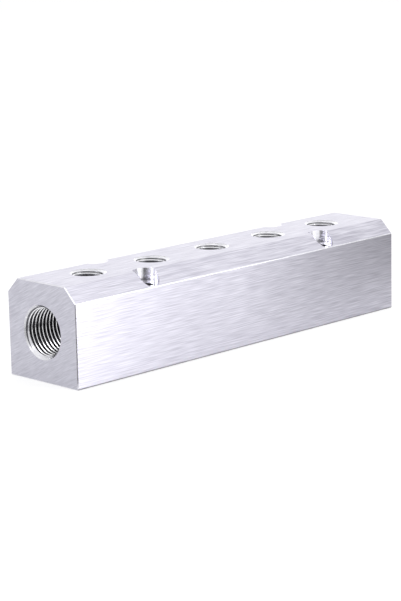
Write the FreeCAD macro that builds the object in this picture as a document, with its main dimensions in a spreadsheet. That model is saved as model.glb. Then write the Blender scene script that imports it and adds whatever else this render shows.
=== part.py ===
import FreeCAD, Part
import os
import Sketcher

# Air distribution block, machined from one length of square aluminium bar.
# Millimetres, +Z up, +X along the bar. The origin is the centre of the bottom face.

NODE = "manifold_block"

# Driving sizes: alias, value and what it measures.
SIZES = [
    ("bar_width", 40.0, "across the bar, between its side faces"),
    ("bar_height", 40.0, "from the bottom face to the top face"),
    ("top_chamfer", 6.0, "each leg of the two long 45 degree chamfers"),
    ("end_break", 0.6, "each leg of the small break around both end faces"),
    ("edge_radius", 0.6, "radius of the long edges"),
    ("end_margin", 25.0, "from an end face to the nearest outlet's axis"),
    ("outlet_count", 5, "outlets in the row"),
    ("outlet_pitch", 35.0, "from one outlet's axis to the next"),
    ("outlet_bore", 11.8, "drilled diameter of a G1/4 outlet before its thread"),
    ("outlet_mouth", 14.8, "diameter of an outlet's countersink at the top face"),
    ("passage_height", 20.0, "from the bottom face to the passage's axis"),
    ("passage_bore", 18.0, "diameter of the passage that joins the outlets"),
    ("inlet_bore", 19.0, "drilled diameter of a G1/2 inlet before its thread"),
    ("inlet_depth", 20.0, "from an end face to the bottom of an inlet's bore"),
    ("inlet_mouth", 22.0, "diameter of an inlet's countersink at the end face"),
    ("mouth_angle", 90.0, "full angle of every countersink"),
    ("drill_angle", 118.0, "full angle at the bottom of an inlet's bore"),
    ("screw_inset", 5.2, "from a side face to the axis of its screw holes"),
    ("screw_hole", 5.8, "clearance for an M5 screw"),
    ("head_bore", 10.5, "diameter of the counterbore for the screw's head"),
    ("head_depth", 5.8, "from the top face to the floor of the counterbore"),
]

# Lengths that follow from the driving sizes.
HALF_LENGTH = "((sizes.outlet_count - 1) * sizes.outlet_pitch / 2 + sizes.end_margin)"
FIRST_OUTLET = "((sizes.outlet_count - 1) * sizes.outlet_pitch / 2)"
SCREW_X = "((sizes.outlet_count - 2) * sizes.outlet_pitch / 2)"
SCREW_Y = "(sizes.bar_width / 2 - sizes.screw_inset)"

# A sketch's own axes, and the points of its curves in the order in which Sketcher counts them.
X_AXIS = -1
Y_AXIS = -2
START, END, CENTRE = range(1, 4)


def fill_sheet(doc):
    """Puts the driving sizes in a spreadsheet, one row each, with an alias on the value."""
    sheet = doc.addObject("Spreadsheet::Sheet", "sizes")
    for row, (alias, value, meaning) in enumerate(SIZES, start=1):
        sheet.set(f"A{row}", alias)
        sheet.set(f"B{row}", str(value))
        sheet.set(f"C{row}", meaning)
        sheet.setAlias(f"B{row}", alias)
    doc.recompute()


def origin_plane(body, role):
    return next(item for item in body.Origin.OriginFeatures if item.Role == role)


def add_sketch(body, name, role, offset=None):
    """A sketch on one of the body's own planes, moved along the plane's normal by offset."""
    sketch = body.newObject("Sketcher::SketchObject", name)
    sketch.AttachmentSupport = [(origin_plane(body, role), "")]
    sketch.MapMode = "FlatFace"
    if offset:
        sketch.setExpression(".AttachmentOffset.Base.z", offset)
    return sketch


def bind(sketch, kind, *where, to):
    """A dimension in a sketch, held by an expression over the driving sizes."""
    index = sketch.addConstraint(Sketcher.Constraint(kind, *where, 1.0))
    sketch.setExpression(f"Constraints[{index}]", to)


def add_circle(sketch, side_x, side_y, at_x, at_y, diameter):
    """A circle at distances at_x and at_y from the axes, on the sides given by the signs."""
    start = FreeCAD.Vector(side_x, side_y, 0)
    circle = sketch.addGeometry(Part.Circle(start, FreeCAD.Vector(0, 0, 1), 1))
    place_centre(sketch, circle, "DistanceX", Y_AXIS, side_x, at_x)
    place_centre(sketch, circle, "DistanceY", X_AXIS, side_y, at_y)
    bind(sketch, "Diameter", circle, to=diameter)


def place_centre(sketch, circle, kind, axis, side, distance):
    if side == 0:
        sketch.addConstraint(Sketcher.Constraint("PointOnObject", circle, CENTRE, axis))
    elif side > 0:
        bind(sketch, kind, X_AXIS, START, circle, CENTRE, to=distance)
    else:
        bind(sketch, kind, circle, CENTRE, X_AXIS, START, to=distance)


def draw_bar_section(sketch):
    """The bar's section: a rectangle on the X axis with both upper corners cut off."""
    first_guess = {alias: value for alias, value, meaning in SIZES}
    half = first_guess["bar_width"] / 2
    top = first_guess["bar_height"]
    cut = first_guess["top_chamfer"]
    corners = [
        (-half, 0),
        (half, 0),
        (half, top - cut),
        (half - cut, top),
        (cut - half, top),
        (-half, top - cut),
    ]
    points = [FreeCAD.Vector(y, z, 0) for y, z in corners]
    for start, end in zip(points, points[1:] + points[:1]):
        sketch.addGeometry(Part.LineSegment(start, end))
    bottom, right, right_cut, top_line, left_cut, left = range(6)
    for line in range(6):
        following = (line + 1) % 6
        sketch.addConstraint(Sketcher.Constraint("Coincident", line, END, following, START))
    sketch.addConstraint(Sketcher.Constraint("Vertical", right))
    sketch.addConstraint(Sketcher.Constraint("Vertical", left))
    for line in (bottom, top_line):
        sketch.addConstraint(Sketcher.Constraint("Symmetric", line, START, line, END, Y_AXIS))
    sketch.addConstraint(Sketcher.Constraint("PointOnObject", bottom, START, X_AXIS))
    sketch.addConstraint(Sketcher.Constraint("Horizontal", right, END, left, START))
    bind(sketch, "DistanceX", bottom, START, bottom, END, to="sizes.bar_width")
    bind(sketch, "DistanceY", bottom, END, top_line, START, to="sizes.bar_height")
    bind(sketch, "DistanceX", top_line, START, right, END, to="sizes.top_chamfer")
    bind(sketch, "DistanceY", right, END, top_line, START, to="sizes.top_chamfer")


def edge_names(shape, lengthwise):
    """The edges of a shape that run along the bar, or else the ones that don't."""
    names = []
    for number, edge in enumerate(shape.Edges, start=1):
        run = edge.lastVertex().Point - edge.firstVertex().Point
        if (abs(run.x) > 0.9 * run.Length) == lengthwise:
            names.append(f"Edge{number}")
    return names


def add_bar(body):
    """The square bar with its two long chamfers, broken ends and rounded long edges."""
    section = add_sketch(body, "bar_section", "YZ_Plane")
    draw_bar_section(section)
    bar = body.newObject("PartDesign::Pad", "bar")
    bar.Profile = section
    bar.SideType = "Symmetric"
    bar.setExpression("Length", f"2 * {HALF_LENGTH}")
    body.Document.recompute()
    ends = body.newObject("PartDesign::Chamfer", "broken_ends")
    ends.Base = (bar, edge_names(bar.Shape, lengthwise=False))
    ends.setExpression("Size", "sizes.end_break")
    body.Document.recompute()
    rounds = body.newObject("PartDesign::Fillet", "rounded_edges")
    rounds.Base = (ends, edge_names(ends.Shape, lengthwise=True))
    rounds.setExpression("Radius", "sizes.edge_radius")
    body.Document.recompute()
    return rounds


def add_passage(body):
    """The passage that runs along the bar from end to end."""
    sketch = add_sketch(body, "passage_circle", "YZ_Plane")
    add_circle(sketch, 0, 1, None, "sizes.passage_height", "sizes.passage_bore")
    passage = body.newObject("PartDesign::Pocket", "passage")
    passage.Profile = sketch
    passage.Type = "ThroughAll"
    passage.SideType = "Symmetric"
    body.Document.recompute()
    return passage


def add_hole(body, name, sketch, bore, depth=None):
    """A drilled hole below a sketch's circles, right through if no depth is given."""
    body.Document.recompute()
    hole = body.newObject("PartDesign::Hole", name)
    hole.Profile = sketch
    body.Document.recompute()
    hole.ThreadType = "None"
    hole.DrillPoint = "Flat"
    hole.DepthType = "Dimension" if depth else "ThroughAll"
    hole.setExpression("Diameter", bore)
    if depth:
        hole.setExpression("Depth", depth)
    return hole


def add_countersink(hole, mouth):
    hole.HoleCutType = "Countersink"
    hole.HoleCutCustomValues = True
    hole.setExpression("HoleCutDiameter", mouth)
    hole.setExpression("HoleCutCountersinkAngle", "sizes.mouth_angle")


def add_inlets(body):
    """A countersunk inlet bore in each end, on the passage's axis."""
    sketch = add_sketch(body, "inlet_circle", "YZ_Plane", HALF_LENGTH)
    add_circle(sketch, 0, 1, None, "sizes.passage_height", "sizes.inlet_bore")
    inlet = add_hole(body, "far_inlet", sketch, "sizes.inlet_bore", "sizes.inlet_depth")
    inlet.DrillPoint = "Angled"
    inlet.setExpression("DrillPointAngle", "sizes.drill_angle")
    add_countersink(inlet, "sizes.inlet_mouth")
    body.Document.recompute()
    both = body.newObject("PartDesign::Mirrored", "both_inlets")
    both.Originals = [inlet]
    both.MirrorPlane = (origin_plane(body, "YZ_Plane"), [""])
    body.Tip = both
    body.Document.recompute()
    return both


def add_outlets(body):
    """The row of countersunk outlets, drilled down into the passage."""
    sketch = add_sketch(body, "outlet_circle", "XY_Plane", "sizes.bar_height")
    add_circle(sketch, -1, 0, FIRST_OUTLET, None, "sizes.outlet_bore")
    depth = "sizes.bar_height - sizes.passage_height"
    outlet = add_hole(body, "first_outlet", sketch, "sizes.outlet_bore", depth)
    add_countersink(outlet, "sizes.outlet_mouth")
    body.Document.recompute()
    row = body.newObject("PartDesign::LinearPattern", "outlet_row")
    row.Originals = [outlet]
    row.Direction = (sketch, ["H_Axis"])
    row.Mode = "Spacing"
    row.setExpression("Offset", "sizes.outlet_pitch")
    row.setExpression("Occurrences", "sizes.outlet_count")
    body.Tip = row
    body.Document.recompute()
    return row


def add_screw_holes(body):
    """Four counterbored screw holes, midway between the two outlets nearest each end."""
    sketch = add_sketch(body, "screw_circles", "XY_Plane", "sizes.bar_height")
    for side_x in (-1, 1):
        for side_y in (-1, 1):
            add_circle(sketch, side_x, side_y, SCREW_X, SCREW_Y, "sizes.screw_hole")
    holes = add_hole(body, "screw_holes", sketch, "sizes.screw_hole")
    holes.HoleCutType = "Counterbore"
    holes.HoleCutCustomValues = True
    holes.setExpression("HoleCutDiameter", "sizes.head_bore")
    holes.setExpression("HoleCutDepth", "sizes.head_depth")
    body.Document.recompute()
    return holes


def build_block(doc):
    """Makes the block and checks that every cut takes material away."""
    body = doc.addObject("PartDesign::Body", NODE)
    body.Label = NODE
    before = add_bar(body).Shape.Volume
    for add_cut in (add_passage, add_inlets, add_outlets, add_screw_holes):
        after = add_cut(body).Shape.Volume
        if after > before - 1.0:
            raise RuntimeError(f"{add_cut.__name__} removed nothing")
        before = after
    return body


def check(doc, body):
    """Stops before anything is written if a feature failed or the solid isn't sound."""
    for item in doc.Objects:
        if "Invalid" in item.State or "Error" in item.State:
            raise RuntimeError(f"{item.Name} failed: {item.State}")
    if body.Shape.isNull() or not body.Shape.isValid():
        raise RuntimeError(f"{body.Label} has no valid shape")
    if len(body.Shape.Solids) != 1:
        raise RuntimeError(f"{body.Label} should be one solid")


def main():
    doc = FreeCAD.newDocument("air_manifold")
    fill_sheet(doc)
    body = build_block(doc)
    doc.recompute()
    check(doc, body)
    os.makedirs("parts", exist_ok=True)
    body.Shape.exportStep(f"parts/{body.Label}.step")
    box = body.Shape.BoundBox
    print(f"{body.Label}: {box.XLength:.2f} x {box.YLength:.2f} x {box.ZLength:.2f} mm")
    print(f"volume {body.Shape.Volume:.0f} mm3, {len(body.Shape.Faces)} faces")


main()
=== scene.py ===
import math
from collections import namedtuple

import bmesh
import bpy
from mathutils import Matrix, Vector


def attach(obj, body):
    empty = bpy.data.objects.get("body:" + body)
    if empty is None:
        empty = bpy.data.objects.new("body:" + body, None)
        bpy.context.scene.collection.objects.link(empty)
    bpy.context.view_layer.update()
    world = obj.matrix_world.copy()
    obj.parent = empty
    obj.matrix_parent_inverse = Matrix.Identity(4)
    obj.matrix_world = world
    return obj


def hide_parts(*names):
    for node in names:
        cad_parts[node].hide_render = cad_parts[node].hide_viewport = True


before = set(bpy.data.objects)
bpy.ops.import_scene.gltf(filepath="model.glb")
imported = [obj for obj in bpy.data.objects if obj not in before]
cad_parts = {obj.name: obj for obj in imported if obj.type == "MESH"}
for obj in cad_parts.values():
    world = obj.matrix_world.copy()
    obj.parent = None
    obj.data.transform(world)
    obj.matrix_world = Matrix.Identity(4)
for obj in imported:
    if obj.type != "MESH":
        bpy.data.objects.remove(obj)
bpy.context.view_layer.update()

# The block is described in millimetres, and its meshes are scaled to metres.
MM = 0.001
INCH = 25.4

# The block's sizes, as in the part's source. Only the broken ends and the outlets' mouths
# are smaller than there, as in the photo.
HALF_LENGTH = 95.0
HALF_WIDTH = 20.0
HEIGHT = 40.0
TOP_CHAMFER = 6.0
END_BREAK = 0.32
END_RADIUS = 0.12
EDGE_RADIUS = 0.6
EDGE_STEPS = 4
PASSAGE_HEIGHT = 20.0
PASSAGE_RADIUS = 9.0
PASSAGE_INSET = 15.0
INLET_RADIUS = 9.5
INLET_MOUTH = 11.0
INLET_DEPTH = 20.0
INLET_ANGLE = 90.0
DRILL_ANGLE = 118.0
OUTLETS = [-70.0, -35.0, 0.0, 35.0, 70.0]
OUTLET_RADIUS = 5.9
OUTLET_MOUTH = 7.4
OUTLET_ANGLE = 125.0
SCREW_X = 52.5
SCREW_Y = 14.8
SCREW_RADIUS = 2.9
HEAD_RADIUS = 5.25
HEAD_DEPTH = 5.8

# A pipe thread: its pitch, the bore's radius, the radius at the bottom of the groove, how deep
# it goes, the length over which it fades out and the angle at which it starts. Its crests are
# broken by one depth and its flanks carry a painted highlight down to another. Above the shade
# depth the rest takes the lighter wall paint, and below it the bore's painted shade. The inlets
# have 14 turns an inch, the outlets 19.
Thread = namedtuple("Thread", "pitch bore major deepest fade start broken lit clean")
INLET_THREAD = Thread(
    pitch=INCH / 14,
    bore=INLET_RADIUS,
    major=20.955 / 2,
    deepest=18.5,
    fade=3.0,
    start=0.0,
    broken=0.05,
    lit=0.34,
    clean=0.0,
)
OUTLET_THREAD = Thread(
    pitch=INCH / 19,
    bore=OUTLET_RADIUS,
    major=13.157 / 2,
    deepest=16.0,
    fade=0.0,
    start=4.67,
    broken=0.28,
    lit=0.34,
    clean=1.7,
)

# The 55 degree thread form: the angle of a flank, the full height and the rounding of the
# groove for each millimetre of pitch, and the part of the height that the rounding takes.
FLANK_ANGLE = 27.5
FORM_HEIGHT = 0.960491
FORM_ROUND = 0.137329
FORM_SHARE = 6

# The cutters: how many sides they have, how far they reach above a face, and how far they
# reach past the end of a cone or a thread.
SIDES = 96
ABOVE = 1.0
BELOW = 0.3

# A thread's cutter: where its rows start above the face, where it is flat on top, how much
# longer than the thread it is made, how far its rows stay apart where they are squeezed
# together, and how far its crests lie outside the bore.
THREAD_RISE = 2.5
THREAD_TOP = 2.0
THREAD_SPARE = 3.0
ROW_STEP = 0.0001
CREST_GAP = 0.02

# After the cuts: the distance in metres at which points are made one, how level an end face
# is, how near to the end it lies, and the angle from which an edge is sharp.
WELD = 0.0000005
LEVEL = 0.999
NEAR_END = 0.01
SHARP_ANGLE = 33

# The metal's colours, each a dark and a light one.
SIDE_COLOURS = [(0.41, 0.40, 0.467, 1), (0.67, 0.66, 0.73, 1)]
END_COLOURS = [(0.39, 0.386, 0.442, 1), (0.595, 0.59, 0.658, 1)]
# The edge breaks and the shoulders' rounds are lighter, partly from wear and partly as a painted highlight.
EDGE_COLOURS = [(0.68, 0.68, 0.72, 1), (0.82, 0.82, 0.86, 1)]
# The rounds along the bottom are darkened with painted shade where the bar meets the floor.
FOOT_COLOURS = [(0.24, 0.235, 0.26, 1), (0.34, 0.335, 0.36, 1)]
SEAT_COLOURS = [(0.82, 0.815, 0.87, 1), (0.92, 0.915, 0.96, 1)]
MOUTH_COLOURS = [(0.60, 0.60, 0.64, 1), (0.76, 0.76, 0.79, 1)]
# The passage, the inlets' and screws' bores and the threads' grooves are painted dark, as painted shade deep
# inside the holes.
BORE_SHADE_COLOURS = [(0.11, 0.108, 0.12, 1), (0.18, 0.177, 0.195, 1)]
WALL_COLOURS = [(0.42, 0.42, 0.44, 1), (0.54, 0.54, 0.56, 1)]
# The threads' flanks next to the crests are painted light, as a painted highlight.
FLANK_HIGHLIGHT_COLOURS = [(0.80, 0.80, 0.83, 1), (0.92, 0.92, 0.94, 1)]

# The slant of the tool marks on the ends, the relief of turned walls and of polished ones,
# how rough the noises are, and the part of its range that a noise mostly keeps to.
END_MARKS = math.radians(-27)
TURNED_RELIEF = 0.08
POLISHED_RELIEF = 0.01
NOISE_ROUGHNESS = 0.6
NOISE_RANGE = (0.3, 0.7)

# The studio, in metres: the paper and the light from all around.
FLOOR_HALF = 6.0
FLOOR_DROP = 0.00005
FLOOR_GREY = 0.50
FLOOR_GLOW = 0.50
WORLD_LEVEL = 1.0

# Softboxes: name, azimuth and elevation in degrees, distance, size and radiance.
SOFTBOXES = [
    ("front_near", -68, 12, 0.70, (0.30, 0.30), 7.8),
    ("front_far", -50, 14, 0.70, (0.20, 0.30), 1.1),
    ("over_right", -20, 45, 0.90, (0.50, 0.50), 0.35),
    ("overhead", 0, 90, 0.90, (1.30, 1.30), 0.28),
    ("back_right", 40, 22, 1.10, (0.90, 0.70), 0.5),
    ("left_front", -158, 48, 0.90, (0.30, 0.30), 1.3),
    ("left_high", 165, 28, 0.90, (0.35, 0.30), 4.0),
]
LAMP_AIM = (0, 0, 0.02)

# Cards that only the metal shows: two that stand on a line and two that lie on the paper.
CARD_LIFT = 0.0005
PAPER_ROUGHNESS = 0.9
DARK_GREY = 0.12
RIGHT_CARD = [(0.02, -0.04), (0.60, -0.16)]
RIGHT_CARD_HEIGHT = 0.055
CAMERA_CARD = [(-0.26, -0.13), (-0.12, -0.27)]
CAMERA_CARD_HEIGHT = 0.12
CAMERA_MAT = [
    (-0.101, -0.022),
    (-0.200, -0.095),
    (-0.235, -0.130),
    (-0.150, -0.250),
    (-0.112, -0.180),
    (-0.050, -0.158),
    (-0.055, -0.110),
]
LEFT_MAT = [(-0.140, -0.05), (-0.205, -0.05), (-0.205, 0.002), (-0.140, 0.002)]

# The graded card is clear up to its start along X, and from its full place on it covers a share.
GRADED_GREY = 0.08
GRADED_START = 0.02
GRADED_FULL = 0.17
GRADED_COVER = 0.86

# The camera, fitted to the photograph, in degrees and millimetres, and its far clip in metres.
CAMERA_AZIMUTH = -45.08
CAMERA_ELEVATION = 12.34
CAMERA_ROLL = -1.245
CAMERA_DISTANCE = 828.31
CAMERA_TARGET = (-7.27, 0.0, 17.91)
LENS = 117.94
SENSOR_WIDTH = 36.0
FAR_CLIP = 50.0


def add_object(name, data):
    """A new object in the scene."""
    item = bpy.data.objects.new(name, data)
    bpy.context.scene.collection.objects.link(item)
    return item


# Shapes

def corner_points(corners, inset, radius):
    """The loop of a convex outline, drawn in by inset, with each corner rounded by radius."""
    points = []
    count = len(corners)
    for i in range(count):
        here = Vector(corners[i])
        arriving = (here - Vector(corners[i - 1])).normalized()
        leaving = (Vector(corners[(i + 1) % count]) - here).normalized()
        first = Vector((-arriving.y, arriving.x))
        last = Vector((-leaving.y, leaving.x))
        towards = (first + last) / (1 + first.dot(last))
        centre = here + towards * (inset + radius)
        turn = math.atan2(first.x * last.y - first.y * last.x, first.dot(last))
        for step in range(EDGE_STEPS + 1):
            angle = turn * step / EDGE_STEPS
            normal = Matrix.Rotation(angle, 2) @ first
            points.append(centre - normal * radius)
    return points


def make_mesh(name, vertices, faces, materials, places=()):
    """A closed mesh in metres from points in millimetres, with its faces turned outwards.

    The places are pairs of a face and its place in the list of materials, which is 0 otherwise.
    """
    mesh = bpy.data.meshes.new(name)
    mesh.from_pydata([tuple(v * MM for v in p) for p in vertices], [], faces)
    for material in materials:
        mesh.materials.append(material)
    for face, place in places:
        mesh.polygons[face].material_index = place
    shape = bmesh.new()
    shape.from_mesh(mesh)
    bmesh.ops.recalc_face_normals(shape, faces=shape.faces)
    shape.to_mesh(mesh)
    shape.free()
    return add_object(name, mesh)


def make_bar(paints):
    """The bar with its long chamfers, rounded long edges and broken ends."""
    materials = [paints["side"], paints["edge"], paints["foot"]]
    # The places of the last two paints, and the corners that take them along the bar.
    # The edge paint is lighter, partly wear and partly a painted highlight.
    edge = 1
    # The foot paint on the bottom rounds is painted shade where the bar meets the floor.
    foot = 2
    bottom_corners = (0, 1)
    shoulder_corners = (2, 5)
    shoulder = HEIGHT - TOP_CHAMFER
    ridge = HALF_WIDTH - TOP_CHAMFER
    corners = [
        (-HALF_WIDTH, 0.0),
        (HALF_WIDTH, 0.0),
        (HALF_WIDTH, shoulder),
        (ridge, HEIGHT),
        (-ridge, HEIGHT),
        (-HALF_WIDTH, shoulder),
    ]
    stations = [
        (-HALF_LENGTH, END_BREAK, END_RADIUS),
        (END_BREAK - HALF_LENGTH, 0.0, EDGE_RADIUS),
        (HALF_LENGTH - END_BREAK, 0.0, EDGE_RADIUS),
        (HALF_LENGTH, END_BREAK, END_RADIUS),
    ]
    long_ring = 1
    vertices = []
    for x, inset, radius in stations:
        vertices += [(x, p.x, p.y) for p in corner_points(corners, inset, radius)]
    loop = len(vertices) // len(stations)
    faces = [tuple(range(loop)), tuple(range(loop * (len(stations) - 1), len(vertices)))]
    places = []
    for ring in range(len(stations) - 1):
        for i in range(loop):
            j = (i + 1) % loop
            low = ring * loop
            corner = i // (EDGE_STEPS + 1)
            on_round = i % (EDGE_STEPS + 1) < EDGE_STEPS
            if on_round and corner in bottom_corners:
                places.append((len(faces), foot))
            elif ring != long_ring or on_round and corner in shoulder_corners:
                places.append((len(faces), edge))
            faces.append((low + i, low + j, low + loop + j, low + loop + i))
    return make_mesh("machined_block", vertices, faces, materials, places)


def make_turned(name, profile, place, material):
    """A cutter turned about its own Z axis from (radius, height) pairs, both ends on the axis."""
    vertices = [place @ Vector((0, 0, profile[0][1]))]
    for radius, height in profile[1:-1]:
        for k in range(SIDES):
            angle = 2 * math.pi * k / SIDES
            vertices.append(place @ Vector((radius * math.cos(angle), radius * math.sin(angle), height)))
    vertices.append(place @ Vector((0, 0, profile[-1][1])))
    last = len(vertices) - 1
    faces = []
    for k in range(SIDES):
        following = (k + 1) % SIDES
        faces.append((0, 1 + k, 1 + following))
        for ring in range(len(profile) - 3):
            low = 1 + ring * SIDES
            faces.append((low + k, low + following, low + SIDES + following, low + SIDES + k))
        low = last - SIDES
        faces.append((low + k, low + following, last))
    return make_mesh(name, vertices, faces, [material])


def hole_mouth(name, mouth, bore, angle, place, material):
    """The cutter for the countersink of a bore."""
    widening = math.tan(math.radians(angle / 2))
    cone = (mouth - bore) / widening
    profile = [
        (0, ABOVE),
        (mouth + ABOVE * widening, ABOVE),
        (bore - BELOW * widening, -cone - BELOW),
        (0, -cone - BELOW),
    ]
    return make_turned(name, profile, place, material)


def hole_bore(name, bore, depth, place, material, tip=0):
    """The cutter for a round bore, flat or with a drill point, from above the face downwards."""
    profile = [(0, ABOVE), (bore, ABOVE), (bore, -depth), (0, -depth - tip)]
    return make_turned(name, profile, place, material)


def groove_profile(thread):
    """One pitch of a thread's groove: (place along the pitch, radius) pairs."""
    crest = thread.bore + CREST_GAP
    slope = math.tan(math.radians(FLANK_ANGLE))
    apex = thread.major + FORM_HEIGHT * thread.pitch / FORM_SHARE
    round_radius = FORM_ROUND * thread.pitch
    centre = thread.major - round_radius
    half_width = (apex - crest) * slope
    # One flank from its broken corner to the end of its bright part, as seen from the crest.
    flank = []
    for lift in (thread.broken, thread.lit):
        flank.append((half_width - lift * slope, crest + lift))
    shoulder = (flank[0][0] + thread.broken, crest)
    pairs = [(-shoulder[0], crest)]
    pairs += [(-along, radius) for along, radius in flank]
    # The groove's round bottom, from where one flank meets it to where the other does.
    for share in (1, 0.5, 0, -0.5, -1):
        turn = math.radians(share * (90 - FLANK_ANGLE))
        pairs.append((-round_radius * math.sin(turn), centre + round_radius * math.cos(turn)))
    pairs += flank[::-1]
    pairs.append(shoulder)
    pairs.append((thread.pitch / 2, crest))
    return pairs


def thread_depth(thread, pairs, i, k):
    """How deep point k of row i lies before the cutter's ends are squeezed flat."""
    base = (i // len(pairs)) * thread.pitch + pairs[i % len(pairs)][0]
    return base + thread.pitch * k / SIDES - THREAD_RISE


def thread_points(thread, pairs, rows, place):
    """The points of a thread's cutter, row by row, with both ends squeezed flat."""
    crest = thread.bore + CREST_GAP
    points = []
    for i in range(rows + 1):
        radius = pairs[i % len(pairs)][1]
        for k in range(SIDES):
            depth = thread_depth(thread, pairs, i, k)
            depth = max(depth, -THREAD_TOP + ROW_STEP * i)
            depth = min(depth, thread.deepest - ROW_STEP * (rows - i))
            remaining = 1.0
            if thread.fade:
                remaining = max(0.0, min(1.0, (thread.deepest - depth) / thread.fade))
            here = crest + (radius - crest) * remaining
            turned = thread.start - 2 * math.pi * k / SIDES
            points.append(place @ Vector((here * math.cos(turned), here * math.sin(turned), -depth)))
    return points


def thread_faces(rows, count):
    """Each face of a thread's surface: its row, its place around the bore and its corners."""
    for i in range(rows):
        for k in range(SIDES - 1):
            low = i * SIDES + k
            yield i, k, (low, low + 1, low + SIDES + 1, low + SIDES)
    for i in range(rows - count):
        low = i * SIDES + SIDES - 1
        far = (i + count) * SIDES
        yield i, SIDES - 1, (low, far, far + SIDES, low + SIDES)


def fan(point, loop):
    """Triangles from one point to a closed loop of points."""
    return [(point, a, b) for a, b in zip(loop, loop[1:] + loop[:1])]


def make_thread(name, thread, place, paints):
    """A right-hand thread's cutter about its own Z axis, from above the mouth downwards."""
    # The groove takes the bore's painted shade, the flank rows a painted highlight, and the rows above the
    # shade depth the lighter wall paint.
    materials = [paints["bore"], paints["flank"], paints["wall"]]
    # The places of the last two paints, and the rows of each pitch with the bright flanks.
    flank = 1
    wall = 2
    pairs = groove_profile(thread)
    count = len(pairs)
    flank_rows = (0, 1, count - 4, count - 3)
    turns = int(math.ceil((thread.deepest + THREAD_SPARE) / thread.pitch)) + 1
    rows = turns * count
    vertices = thread_points(thread, pairs, rows, place)
    faces = []
    places = []
    for i, k, corners in thread_faces(rows, count):
        if i % count in flank_rows:
            places.append((len(faces), flank))
        elif thread_depth(thread, pairs, i, k) < thread.clean:
            places.append((len(faces), wall))
        faces.append(corners)
    # A fan closes each end along its last turn and the step of one pitch beside it.
    first = list(range(SIDES)) + [i * SIDES for i in range(count, 0, -1)]
    last = [rows * SIDES + k for k in range(SIDES)]
    last += [(rows - i) * SIDES + SIDES - 1 for i in range(1, count + 1)]
    top = len(vertices)
    vertices.append(place @ Vector((0, 0, THREAD_RISE)))
    vertices.append(place @ Vector((0, 0, -thread.deepest - BELOW)))
    faces += fan(top, first)
    faces += fan(top + 1, last)
    return make_mesh(name, vertices, faces, materials, places)


def passage_cutter(paints):
    """The cutter for the passage, which ends inside the two inlets."""
    place = Matrix.Translation((0, 0, PASSAGE_HEIGHT)) @ Matrix.Rotation(math.pi / 2, 4, "Y")
    length = HALF_LENGTH - PASSAGE_INSET
    profile = [(0, length), (PASSAGE_RADIUS, length), (PASSAGE_RADIUS, -length), (0, -length)]
    return make_turned("passage", profile, place, paints["bore"])


def inlet_cutters(side, paints):
    """The cutters for the inlet in one end: drill, countersink and tap."""
    tip = INLET_RADIUS / math.tan(math.radians(DRILL_ANGLE / 2))
    place = Matrix.Translation((side * HALF_LENGTH, 0, PASSAGE_HEIGHT))
    place = place @ Matrix.Rotation(side * math.pi / 2, 4, "Y")
    return [
        hole_bore("inlet", INLET_RADIUS, INLET_DEPTH, place, paints["bore"], tip),
        hole_mouth("inlet_mouth", INLET_MOUTH, INLET_RADIUS, INLET_ANGLE, place, paints["mouth"]),
        make_thread("inlet_thread", INLET_THREAD, place, paints),
    ]


def outlet_cutters(x, paints):
    """The cutters for one outlet in the top face: drill, countersink and tap."""
    depth = HEIGHT - PASSAGE_HEIGHT
    place = Matrix.Translation((x, 0, HEIGHT))
    return [
        hole_bore("outlet", OUTLET_RADIUS, depth, place, paints["wall"]),
        hole_mouth("outlet_mouth", OUTLET_MOUTH, OUTLET_RADIUS, OUTLET_ANGLE, place, paints["mouth"]),
        make_thread("outlet_thread", OUTLET_THREAD, place, paints),
    ]


def screw_cutters(x, y, paints):
    """The cutters for one screw hole and the counterbore for its head."""
    place = Matrix.Translation((x, y, HEIGHT))
    return [
        hole_bore("screw_head", HEAD_RADIUS, HEAD_DEPTH, place, paints["seat"]),
        hole_bore("screw", SCREW_RADIUS, HEIGHT + ABOVE, place, paints["bore"]),
    ]


def cut(block, cutters):
    """Takes every cutter away from the block, and removes the cutters."""
    for cutter in cutters:
        modifier = block.modifiers.new(cutter.name, "BOOLEAN")
        modifier.operation = "DIFFERENCE"
        modifier.solver = "MANIFOLD"
        modifier.material_mode = "TRANSFER"
        modifier.object = cutter
    bpy.context.view_layer.update()
    evaluated = block.evaluated_get(bpy.context.evaluated_depsgraph_get())
    mesh = bpy.data.meshes.new_from_object(evaluated)
    block.modifiers.clear()
    shape = bmesh.new()
    shape.from_mesh(mesh)
    bmesh.ops.remove_doubles(shape, verts=shape.verts, dist=WELD)
    shape.to_mesh(mesh)
    shape.free()
    block.data = mesh
    for cutter in cutters:
        bpy.data.objects.remove(cutter)


def finish_surface(block, end):
    """Gives the end faces their own material, and shades curved walls smooth."""
    mesh = block.data
    mesh.materials.append(end)
    end_slot = len(mesh.materials) - 1
    for face in mesh.polygons:
        level = abs(face.normal.x) > LEVEL
        if level and abs(abs(face.center.x) - HALF_LENGTH * MM) < NEAR_END * MM:
            face.material_index = end_slot
    mesh.shade_smooth()
    mesh.set_sharp_from_angle(angle=math.radians(SHARP_ANGLE))
    weighted = block.modifiers.new("face_normals", "WEIGHTED_NORMAL")
    weighted.mode = "FACE_AREA"
    weighted.keep_sharp = True


def build_block(paints):
    """The bar with its passage, ports, screw holes and cut threads."""
    block = make_bar(paints)
    cutters = [passage_cutter(paints)]
    for side in (-1, 1):
        cutters += inlet_cutters(side, paints)
    for x in OUTLETS:
        cutters += outlet_cutters(x, paints)
    for x in (-SCREW_X, SCREW_X):
        for y in (-SCREW_Y, SCREW_Y):
            cutters += screw_cutters(x, y, paints)
    cut(block, cutters)
    finish_surface(block, paints["end"])
    return block


# Materials

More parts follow.
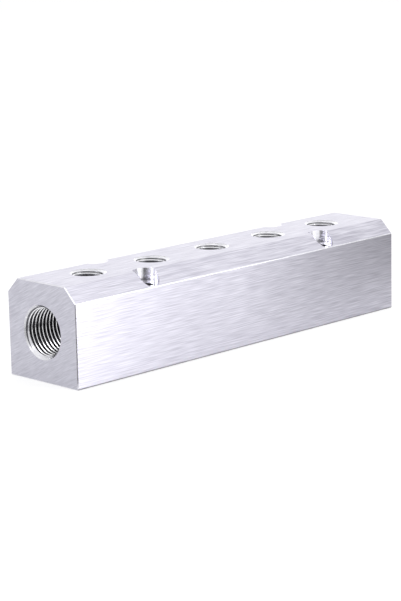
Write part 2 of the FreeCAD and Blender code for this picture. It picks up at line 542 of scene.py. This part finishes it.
def new_material(name):
    """A material with one shader, its node tree and the shader."""
    material = bpy.data.materials.new(name)
    material.use_nodes = True
    tree = material.node_tree
    tree.nodes.clear()
    output = tree.nodes.new("ShaderNodeOutputMaterial")
    shader = tree.nodes.new("ShaderNodeBsdfPrincipled")
    tree.links.new(shader.outputs["BSDF"], output.inputs["Surface"])
    return material, tree, shader


def new_metal(name):
    """A bare metal, still without its marks."""
    material, tree, shader = new_material(name)
    shader.inputs["Metallic"].default_value = 1.0
    return material, tree, shader


def new_paper(name, grey):
    """A matt paper in one grey."""
    material, tree, shader = new_material(name)
    shader.inputs["Base Color"].default_value = (grey, grey, grey, 1)
    shader.inputs["Roughness"].default_value = PAPER_ROUGHNESS
    shader.inputs["Specular IOR Level"].default_value = 0.0
    return material, tree, shader


def stretched_noise(tree, cells, detail, turn=(0, 0, 0)):
    """Noise over the block's own coordinates, with its cells per metre along each axis."""
    coordinates = tree.nodes.new("ShaderNodeTexCoord")
    mapping = tree.nodes.new("ShaderNodeMapping")
    mapping.inputs["Rotation"].default_value = turn
    stretch = tree.nodes.new("ShaderNodeVectorMath")
    stretch.operation = "MULTIPLY"
    stretch.inputs[1].default_value = cells
    noise = tree.nodes.new("ShaderNodeTexNoise")
    noise.inputs["Scale"].default_value = 1.0
    noise.inputs["Detail"].default_value = detail
    noise.inputs["Roughness"].default_value = NOISE_ROUGHNESS
    tree.links.new(coordinates.outputs["Object"], mapping.inputs["Vector"])
    tree.links.new(mapping.outputs["Vector"], stretch.inputs[0])
    tree.links.new(stretch.outputs["Vector"], noise.inputs["Vector"])
    return noise.outputs["Fac"]


def spread(tree, value, low, high, usual=NOISE_RANGE):
    """A value moved from its usual range into the range low to high."""
    node = tree.nodes.new("ShaderNodeMapRange")
    node.inputs["From Min"].default_value = usual[0]
    node.inputs["From Max"].default_value = usual[1]
    node.inputs["To Min"].default_value = low
    node.inputs["To Max"].default_value = high
    tree.links.new(value, node.inputs["Value"])
    return node.outputs["Result"]


def average(tree, first, second, share):
    """A value between two others, with the second one's share."""
    node = tree.nodes.new("ShaderNodeMix")
    node.inputs["Factor"].default_value = share
    tree.links.new(first, node.inputs["A"])
    tree.links.new(second, node.inputs["B"])
    return node.outputs["Result"]


def mark_metal(tree, shader, marks, colours, roughness, distance, strength):
    """Marks that run from dark to light, change the roughness and stand out a little."""
    mix = tree.nodes.new("ShaderNodeMix")
    mix.data_type = "RGBA"
    mix.inputs["A"].default_value = colours[0]
    mix.inputs["B"].default_value = colours[1]
    tree.links.new(spread(tree, marks, 0, 1), mix.inputs["Factor"])
    tree.links.new(mix.outputs["Result"], shader.inputs["Base Color"])
    tree.links.new(spread(tree, marks, *roughness), shader.inputs["Roughness"])
    bump = tree.nodes.new("ShaderNodeBump")
    bump.inputs["Distance"].default_value = distance
    bump.inputs["Strength"].default_value = strength
    tree.links.new(marks, bump.inputs["Height"])
    tree.links.new(bump.outputs["Normal"], shader.inputs["Normal"])


def brushed_side():
    """Bar faces brushed along the bar: fine and coarse streaks, blurred across the grain."""
    material, tree, shader = new_metal("brushed_aluminium")
    shader.inputs["Anisotropic"].default_value = 0.88
    tangent = tree.nodes.new("ShaderNodeTangent")
    tangent.direction_type = "RADIAL"
    tangent.axis = "X"
    tree.links.new(tangent.outputs["Tangent"], shader.inputs["Tangent"])
    fine = stretched_noise(tree, cells=(80, 2600, 2600), detail=1)
    coarse = stretched_noise(tree, cells=(20, 1300, 1300), detail=2)
    grain = average(tree, fine, coarse, share=0.18)
    mark_metal(tree, shader, grain, SIDE_COLOURS, roughness=(0.40, 0.28), distance=0.00002, strength=0.4)
    return material


def sawn_end():
    """End faces with slanting tool marks that rise towards the front of the block."""
    material, tree, shader = new_metal("faced_aluminium")
    shader.inputs["Anisotropic"].default_value = 0.5
    across = tree.nodes.new("ShaderNodeCombineXYZ")
    across.inputs["X"].default_value = 0.0
    across.inputs["Y"].default_value = math.sin(END_MARKS)
    across.inputs["Z"].default_value = math.cos(END_MARKS)
    tree.links.new(across.outputs["Vector"], shader.inputs["Tangent"])
    turn = (-END_MARKS, 0, 0)
    fine = stretched_noise(tree, cells=(200, 160, 2400), detail=3, turn=turn)
    coarse = stretched_noise(tree, cells=(60, 60, 1000), detail=2, turn=turn)
    marks = average(tree, fine, coarse, share=0.3)
    mark_metal(tree, shader, marks, END_COLOURS, roughness=(0.44, 0.30), distance=0.00002, strength=0.5)
    return material


def turned_wall(name, colours, roughness, relief=TURNED_RELIEF):
    """Walls left by a drill, a countersink or a tap, with fine uneven rings."""
    material, tree, shader = new_metal(name)
    rings = stretched_noise(tree, cells=(300, 300, 1200), detail=2)
    mark_metal(tree, shader, rings, colours, roughness, distance=0.00001, strength=relief)
    return material


def floor_paper():
    """Pale paper that reads white and still takes the block's soft shadow."""
    material, tree, shader = new_paper("white_paper", FLOOR_GREY)
    shader.inputs["Emission Color"].default_value = (1, 1, 1, 1)
    path = tree.nodes.new("ShaderNodeLightPath")
    seen = path.outputs["Is Camera Ray"]
    for name in ("Is Glossy Ray", "Is Transmission Ray"):
        add = tree.nodes.new("ShaderNodeMath")
        add.operation = "MAXIMUM"
        tree.links.new(seen, add.inputs[0])
        tree.links.new(path.outputs[name], add.inputs[1])
        seen = add.outputs["Value"]
    glow = tree.nodes.new("ShaderNodeMath")
    glow.operation = "MULTIPLY"
    glow.inputs[1].default_value = FLOOR_GLOW
    tree.links.new(seen, glow.inputs[0])
    tree.links.new(glow.outputs["Value"], shader.inputs["Emission Strength"])
    return material


def graded_paper():
    """Dark card that thins out to clear at one end."""
    material, tree, shader = new_paper("graded_card", GRADED_GREY)
    coordinates = tree.nodes.new("ShaderNodeTexCoord")
    split = tree.nodes.new("ShaderNodeSeparateXYZ")
    tree.links.new(coordinates.outputs["Object"], split.inputs["Vector"])
    share = spread(tree, split.outputs["X"], 0.0, GRADED_COVER, usual=(GRADED_START, GRADED_FULL))
    tree.links.new(share, shader.inputs["Alpha"])
    return material


def dark_paper():
    """Dark grey card."""
    return new_paper("dark_card", DARK_GREY)[0]


def metal_paints():
    """Every material of the block, by where it goes."""
    return {
        "side": brushed_side(),
        "end": sawn_end(),
        # Edges: lighter, partly wear and partly a painted highlight.
        "edge": turned_wall("wear_and_painted_highlight_edge", EDGE_COLOURS, roughness=(0.30, 0.26), relief=POLISHED_RELIEF),
        # Bottom rounds: painted shade.
        "foot": turned_wall("painted_shade_foot", FOOT_COLOURS, roughness=(0.40, 0.30)),
        "seat": turned_wall("bored_aluminium", SEAT_COLOURS, roughness=(0.26, 0.20), relief=POLISHED_RELIEF),
        "mouth": turned_wall("countersunk_aluminium", MOUTH_COLOURS, roughness=(0.32, 0.20)),
        # Bores, passage and grooves: painted shade.
        "bore": turned_wall("painted_shade_bore", BORE_SHADE_COLOURS, roughness=(0.36, 0.26)),
        "wall": turned_wall("outlet_wall", WALL_COLOURS, roughness=(0.28, 0.18)),
        # Thread flanks: a painted highlight.
        "flank": turned_wall("painted_highlight_flank", FLANK_HIGHLIGHT_COLOURS, roughness=(0.28, 0.18)),
    }


# The studio

def add_floor():
    """The paper that the block stands on."""
    half = FLOOR_HALF
    mesh = bpy.data.meshes.new("floor")
    corners = [(-half, -half, 0), (half, -half, 0), (half, half, 0), (-half, half, 0)]
    mesh.from_pydata(corners, [], [(0, 1, 2, 3)])
    mesh.materials.append(floor_paper())
    floor = add_object("floor", mesh)
    floor.location.z = -FLOOR_DROP


def standing_card(line, height):
    """The corners of a card that stands on a line on the floor."""
    corners = [(x, y, CARD_LIFT) for x, y in line]
    return corners + [(x, y, height) for x, y in reversed(line)]


def lying_card(outline):
    """The corners of a card that lies on the floor."""
    return [(x, y, CARD_LIFT) for x, y in outline]


def add_card(name, corners, material):
    """A card that the camera, the paper and the shadows don't show."""
    mesh = bpy.data.meshes.new(name)
    mesh.from_pydata(corners, [], [tuple(range(len(corners)))])
    mesh.materials.append(material)
    card = add_object(name, mesh)
    card.visible_camera = False
    card.visible_diffuse = False
    card.visible_shadow = False


def set_world():
    """Even white light from all around."""
    world = bpy.data.worlds.new("studio")
    world.use_nodes = True
    background = world.node_tree.nodes["Background"]
    background.inputs["Color"].default_value = (1, 1, 1, 1)
    background.inputs["Strength"].default_value = WORLD_LEVEL
    bpy.context.scene.world = world


def add_softbox(name, azimuth, elevation, distance, size, radiance):
    """A rectangular lamp that faces the block from a direction in degrees."""
    data = bpy.data.lights.new(name, "AREA")
    data.shape = "RECTANGLE"
    data.size, data.size_y = size
    data.energy = radiance * math.pi * size[0] * size[1]
    lamp = add_object(name, data)
    azimuth = math.radians(azimuth)
    elevation = math.radians(elevation)
    flat = math.cos(elevation)
    direction = Vector((math.cos(azimuth) * flat, math.sin(azimuth) * flat, math.sin(elevation)))
    lamp.location = Vector(LAMP_AIM) + direction * distance
    lamp.rotation_euler = direction.to_track_quat("Z", "Y").to_euler()
    lamp.visible_camera = False


def add_camera():
    """The camera found from the block's own edges in the photograph."""
    data = bpy.data.cameras.new("camera")
    data.sensor_fit = "AUTO"
    data.sensor_width = SENSOR_WIDTH
    data.lens = LENS
    data.clip_end = FAR_CLIP
    azimuth = math.radians(CAMERA_AZIMUTH)
    elevation = math.radians(CAMERA_ELEVATION)
    roll = math.radians(CAMERA_ROLL)
    flat = math.cos(elevation)
    back = Vector((math.sin(azimuth) * flat, -math.cos(azimuth) * flat, math.sin(elevation)))
    level = Vector((math.cos(azimuth), math.sin(azimuth), 0))
    upright = back.cross(level)
    right = level * math.cos(roll) + upright * math.sin(roll)
    up = upright * math.cos(roll) - level * math.sin(roll)
    target = Vector(CAMERA_TARGET) * MM
    camera = add_object("camera", data)
    turn = Matrix((right, up, back)).transposed().to_4x4()
    camera.matrix_world = Matrix.Translation(target + back * CAMERA_DISTANCE * MM) @ turn
    bpy.context.scene.camera = camera


def main():
    """The block, its studio, the camera and the boxes."""
    bpy.context.scene.view_settings.view_transform = "Standard"
    block = build_block(metal_paints())
    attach(block, "root")
    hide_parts("manifold_block")
    add_floor()
    graded = graded_paper()
    dark = dark_paper()
    add_card("right_card", standing_card(RIGHT_CARD, RIGHT_CARD_HEIGHT), graded)
    add_card("camera_card", standing_card(CAMERA_CARD, CAMERA_CARD_HEIGHT), dark)
    add_card("camera_mat", lying_card(CAMERA_MAT), dark)
    add_card("left_mat", lying_card(LEFT_MAT), dark)
    set_world()
    for softbox in SOFTBOXES:
        add_softbox(*softbox)
    add_camera()


main()
